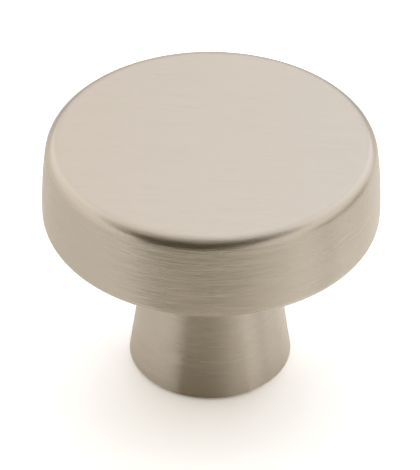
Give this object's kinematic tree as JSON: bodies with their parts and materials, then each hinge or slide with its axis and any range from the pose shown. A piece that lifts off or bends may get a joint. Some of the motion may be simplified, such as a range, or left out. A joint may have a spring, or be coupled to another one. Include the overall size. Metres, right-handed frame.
{
  "type": "cabinet knob",
  "caption": "Round cabinet knob with a flat disc head, rounded rim and tapered stem, tapped in its base for a mounting screw.",
  "frame": {"origin": "centre of the base face, on the axis of the screw hole", "axes": "+Z along the knob's axis, from the base face to the head; +X and +Y are free, because the knob is round"},
  "size_m": [0.032, 0.032, 0.0252],
  "materials": {
    "satin_nickel": "satin nickel plate, brushed in straight lines on the top and round the wall and stem"
  },
  "bodies": {
    "root": {"knob": "satin_nickel"}
  },
  "joints": []
}
